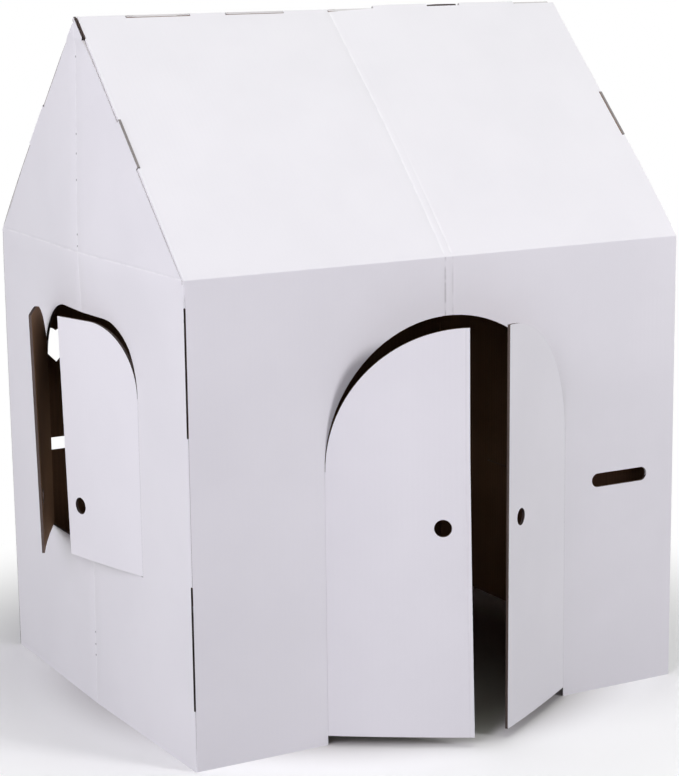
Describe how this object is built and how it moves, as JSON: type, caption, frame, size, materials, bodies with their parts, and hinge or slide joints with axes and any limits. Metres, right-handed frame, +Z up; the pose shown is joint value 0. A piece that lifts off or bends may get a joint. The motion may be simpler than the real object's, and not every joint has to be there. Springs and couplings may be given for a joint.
{
  "type": "cardboard playhouse",
  "caption": "White folding cardboard playhouse with an arched double door, gable windows with shutters and an interlocked ridge.",
  "frame": {"origin": "middle of the footprint, on the floor", "axes": "+X along the ridge to the right as seen from the front door, +Y from the front wall to the back wall, +Z up"},
  "size_m": [0.8891, 0.7803, 1.0259],
  "materials": {
    "white_board": "matt white liner outside, brown liner inside"
  },
  "bodies": {
    "house": {"front_sheet": "white_board", "back_sheet": "white_board"},
    "front_door_left": {"front_door_left": "white_board"},
    "front_door_right": {"front_door_right": "white_board"},
    "left_window_front_shutter": {"left_window_front_shutter": "white_board"},
    "left_window_back_shutter": {"left_window_back_shutter": "white_board"},
    "back_door_left": {"back_door_left": "white_board"},
    "back_door_right": {"back_door_right": "white_board"},
    "right_window_front_shutter": {"right_window_front_shutter": "white_board"},
    "right_window_back_shutter": {"right_window_back_shutter": "white_board"}
  },
  "joints": [
    {"name": "front_door_left_fold", "type": "hinge", "parent": "house", "child": "front_door_left", "pos_m": [-0.198, -0.3365, 0], "axis": [0, 0, -1], "range_deg": [-29, 136]},
    {"name": "front_door_right_fold", "type": "hinge", "parent": "house", "child": "front_door_right", "pos_m": [0.208, -0.3365, 0], "axis": [0, 0, 1], "range_deg": [-32, 133]},
    {"name": "left_window_front_shutter_fold", "type": "hinge", "parent": "house", "child": "left_window_front_shutter", "pos_m": [-0.4065, -0.174, 0], "axis": [0, 0, 1], "range_deg": [-13, 152]},
    {"name": "left_window_back_shutter_fold", "type": "hinge", "parent": "house", "child": "left_window_back_shutter", "pos_m": [-0.4065, 0.174, 0], "axis": [0, 0, -1], "range_deg": [-26, 139]},
    {"name": "back_door_left_fold", "type": "hinge", "parent": "house", "child": "back_door_left", "pos_m": [0.198, 0.3365, 0], "axis": [0, 0, -1], "range_deg": [0, 165]},
    {"name": "back_door_right_fold", "type": "hinge", "parent": "house", "child": "back_door_right", "pos_m": [-0.208, 0.3365, 0], "axis": [0, 0, 1], "range_deg": [0, 165]},
    {"name": "right_window_front_shutter_fold", "type": "hinge", "parent": "house", "child": "right_window_front_shutter", "pos_m": [0.4065, -0.174, 0], "axis": [0, 0, -1], "range_deg": [0, 165]},
    {"name": "right_window_back_shutter_fold", "type": "hinge", "parent": "house", "child": "right_window_back_shutter", "pos_m": [0.4065, 0.174, 0], "axis": [0, 0, 1], "range_deg": [0, 165]}
  ]
}
